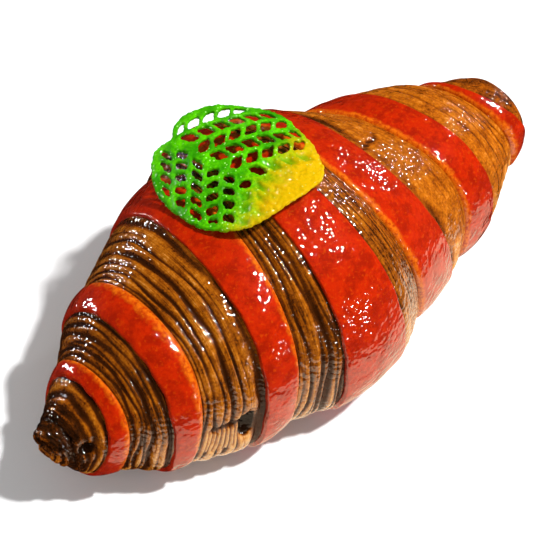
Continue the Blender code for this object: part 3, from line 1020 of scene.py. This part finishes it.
def leaf_finish():
    """A gritty wafer with painted glints, green running to yellow at its filled edge."""
    material, make = new_material("green_wafer")
    place = make.objects()
    leaf = make.mark("leaf")
    from_stalk, _, pit = make.parts(leaf)
    streak = make.noise(make.stretch(leaf, (0.12, 0.4, 0.0)), 1.0, 2.0)
    along = make.math("MULTIPLY_ADD", streak, 9.0, from_stalk)
    yellow = make.span(along, 27.0, 39.0)
    grain = make.noise(place, GRIT, 3.0, 0.7)
    patch = make.noise(place, 220.0, 3.0, 0.6)
    green = make.blend(make.span(patch, 0.35, 0.65), LEAF_DEEP_AND_SHADE, LEAF_GREEN)
    colour = make.blend(yellow, green, LEAF_YELLOW)
    # Painted shade darkens the dimples, by their depth.
    colour = make.blend(make.span(pit, 0.2, 0.9, 0.0, 0.6), colour, LEAF_DEEP_AND_SHADE)
    gritty = make.span(grain, 0.35, 0.6, 0.6, 0.0)
    gritty = make.math("MULTIPLY", gritty, make.span(yellow, 0.0, 1.0, 1.0, 0.25))
    colour = make.blend(gritty, colour, LEAF_DEEP_AND_SHADE)
    # Painted glints: pale bright specks stand in for the sparkle of light on the glaze.
    painted_glint = make.span(make.cells(place, 850.0), 0.1, 0.2, 0.8, 0.0)
    painted_glint = make.math("MULTIPLY", painted_glint, make.span(yellow, 0.0, 1.0, 1.0, 0.3))
    colour = make.blend(painted_glint, colour, LEAF_PAINTED_GLINT)
    normal = make.bump(grain, GRIT_DEPTH, 0.6)
    glaze = make.bump(make.bubbles(place, LEAF_BUBBLES), BLISTER_DEPTH)
    make.finish(colour, make.span(grain, 0.3, 0.7, 0.55, 0.4), normal, 0.35, glaze, DULL)
    return material


def floor_finish():
    """A pale matt table with faint clouds in its grey."""
    material, make = new_material("pale_table")
    cloud = make.noise(make.objects(), 6.0, 3.0)
    colour = make.blend(make.span(cloud, 0.3, 0.7), TABLE_GREY, TABLE_PALE)
    make.finish(colour, 0.6, make.bump(make.noise(make.objects(), 400.0), 0.05 * MM, 0.3))
    return material


# ---- The stage ----
TABLE_HALF = 3.0  # metres, wide enough to fill the view


def make_floor():
    """The table, which the glaze doesn't reflect."""
    bm = bmesh.new()
    bmesh.ops.create_grid(bm, x_segments=8, y_segments=8, size=TABLE_HALF)
    mesh = bpy.data.meshes.new("table_top")
    bm.to_mesh(mesh)
    bm.free()
    mesh.materials.append(floor_finish())
    floor = bpy.data.objects.new("table_top", mesh)
    bpy.context.scene.collection.objects.link(floor)
    floor.visible_glossy = False


def make_light(name, place, size, power_watts, shines=True, aim=(0.0, 0.0, 0.03)):
    """A round light, in metres; where it doesn't shine, it lights but leaves no highlight."""
    data = bpy.data.lights.new(name, "AREA")
    data.shape = "DISK"
    data.size = size
    data.energy = power_watts
    light = bpy.data.objects.new(name, data)
    bpy.context.scene.collection.objects.link(light)
    light.location = place
    light.visible_glossy = shines
    light.rotation_mode = "QUATERNION"
    light.rotation_quaternion = (Vector(aim) - Vector(place)).to_track_quat("-Z", "Y")
    return light


def make_world():
    """Even white light from all round, which the glaze doesn't reflect."""
    bpy.context.scene.view_settings.view_transform = "Standard"
    world = bpy.data.worlds.new("studio")
    bpy.context.scene.world = world
    world.use_nodes = True
    background = world.node_tree.nodes["Background"]
    background.inputs["Color"].default_value = (1.0, 1.0, 1.0, 1.0)
    background.inputs["Strength"].default_value = WORLD_LIGHT
    world.cycles_visibility.glossy = False


def make_camera():
    """Looks down on the roll's side from in front of its near end."""
    a, e, roll = (math.radians(v) for v in (VIEW_AZIMUTH, VIEW_ELEVATION, VIEW_ROLL))
    back = Vector((math.sin(a) * math.cos(e), -math.cos(a) * math.cos(e), math.sin(e)))
    place = VIEW_TARGET + back * VIEW_DISTANCE
    level = Vector((math.cos(a), math.sin(a), 0.0))
    right = Matrix.Rotation(roll, 3, back) @ level
    up = back.cross(right)
    aim = VIEW_TARGET + right * VIEW_OFF_CENTRE[0] + up * VIEW_OFF_CENTRE[1]
    data = bpy.data.cameras.new("view")
    data.lens = LENS
    data.clip_start = 0.01
    data.clip_end = 20.0
    camera = bpy.data.objects.new("view", data)
    bpy.context.scene.collection.objects.link(camera)
    camera.location = place * MM
    away = (place - aim).normalized()
    side = up.cross(away).normalized()
    turn = Matrix((side, away.cross(side), away)).transposed()
    camera.rotation_mode = "QUATERNION"
    camera.rotation_quaternion = turn.to_quaternion()
    bpy.context.scene.camera = camera


def make_lights():
    """A key light from the near side, small lights for the glints, and the table's warm glow."""
    make_light("key", (0.32, -0.47, 1.07), 0.08, 22.0)
    make_light("behind", (-0.42, 1.1, 0.14), 0.12, 4.0)
    make_light("low_front", (0.15, -1.1, 0.06), 0.06, 1.1)
    make_light("far_side", (1.05, 0.12, 0.35), 0.06, 1.6)
    make_light("soft_front", (-1.3, -1.6, 2.1), 2.4, 11.0, shines=False)
    # A card lies on the table along the roll's near side and faces up; only the glaze sees it.
    across, beside = -0.01, -0.043
    card = make_light("table_card", (across, beside, 0.0005), 0.055, 0.035,
                      aim=(across, beside, 1.0))
    card.scale.x = 3.5
    card.data.color = (1.0, 0.78, 0.55)
    card.visible_diffuse = False
    card.visible_camera = False


def main():
    make_camera()
    make_floor()
    make_world()
    make_lights()
    make_layers(layers_finish())
    red = sheet_finish()
    for number in range(1, len(STRETCHES) - 1, 2):
        make_sheet(number, STRETCHES[number], STRETCHES[number + 1], red)
    make_leaf(leaf_finish())


main()
